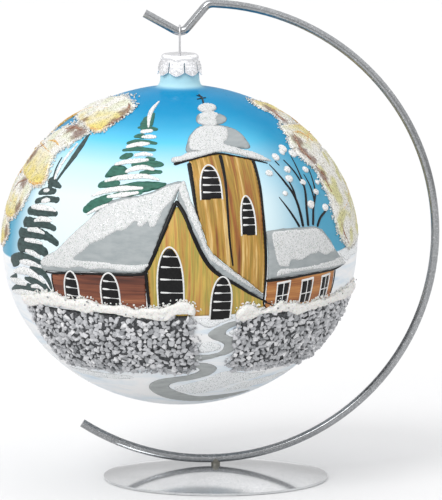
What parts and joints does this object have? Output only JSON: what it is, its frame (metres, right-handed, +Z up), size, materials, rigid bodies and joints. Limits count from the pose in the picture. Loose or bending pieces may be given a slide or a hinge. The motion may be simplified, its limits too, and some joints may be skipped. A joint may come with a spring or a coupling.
{
  "type": "christmas bauble on hoop stand",
  "caption": "Glass bauble with a raised winter church scene and a stamped cap, hanging by a spring-wire loop from the V hook of a round wire hoop on a shallow domed foot.",
  "frame": {"origin": "on the table, under the middle of the object's bounding box", "axes": "+Z up, +X to the right as the painted scene is looked at (the hoop's closed side), -Y towards the viewer"},
  "size_m": [0.1858, 0.1507, 0.2045],
  "materials": {
    "stand_steel": "silver metallic lacquer with a fine sparkle",
    "fastener_steel": "zinc plated",
    "lacquered_glass": "opaque pearly lacquer, blue fading to white",
    "cap_foil": "bright embossed foil",
    "spring_steel": "bright drawn wire",
    "crushed_stone": "crushed silver-grey chips set in paste",
    "snow_paste": "white relief paste with fine glitter",
    "red_brown_paint": "hand-brushed planks",
    "ochre_paint": "hand-brushed planks",
    "golden_paint": "hand-brushed streaks",
    "orange_brown_paint": "hand-brushed planks",
    "fir_green_paint": "brush strokes under white snow strokes",
    "fir_grey_paint": "brush strokes under white snow strokes",
    "path_grey_paint": "brushed ribbon",
    "roof_grey_paste": "glittered relief paste",
    "window_black_paint": "glossy enamel with white bars",
    "gold_glitter": "white to gold glitter"
  },
  "bodies": {
    "stand": {"base_dome": "stand_steel", "hoop_wire": "stand_steel", "hoop_stud": "fastener_steel", "base_washer": "fastener_steel", "base_nut": "fastener_steel"},
    "hanger": {"hanger_wire": "spring_steel"},
    "cap": {"ornament_cap": "cap_foil"},
    "ball": {"glass_ball": "lacquered_glass", "stone_wall_left": "crushed_stone", "stone_wall_right": "crushed_stone", "snow_ridge_left": "snow_paste", "snow_ridge_right": "snow_paste", "nave_wall": "red_brown_paint", "gable_wall": "ochre_paint", "tower_wall": "golden_paint", "wing_wall": "orange_brown_paint", "fir_tree_centre": "fir_green_paint", "fir_tree_left": "fir_grey_paint", "garden_path": "path_grey_paint", "nave_roof": "roof_grey_paste", "gable_eave": "snow_paste", "tower_roof": "snow_paste", "wing_roof": "roof_grey_paste", "church_windows": "window_black_paint", "glitter_petals_left": "gold_glitter", "glitter_petals_right": "gold_glitter"}
  },
  "joints": [
    {"name": "hanger_swing", "type": "hinge", "parent": "stand", "child": "hanger", "pos_m": [-0.01705, 0, 0.1909], "axis": [1, 0, 0], "range_deg": [-45, 45]},
    {"name": "cap_lift", "type": "slide", "parent": "hanger", "child": "cap", "axis": [0, 0, 1], "range_m": [0, 0.006]},
    {"name": "ball_spin", "type": "hinge", "parent": "hanger", "child": "ball", "pos_m": [-0.01705, 0, 0.1001], "axis": [0, 0, 1], "continuous": true}
  ]
}
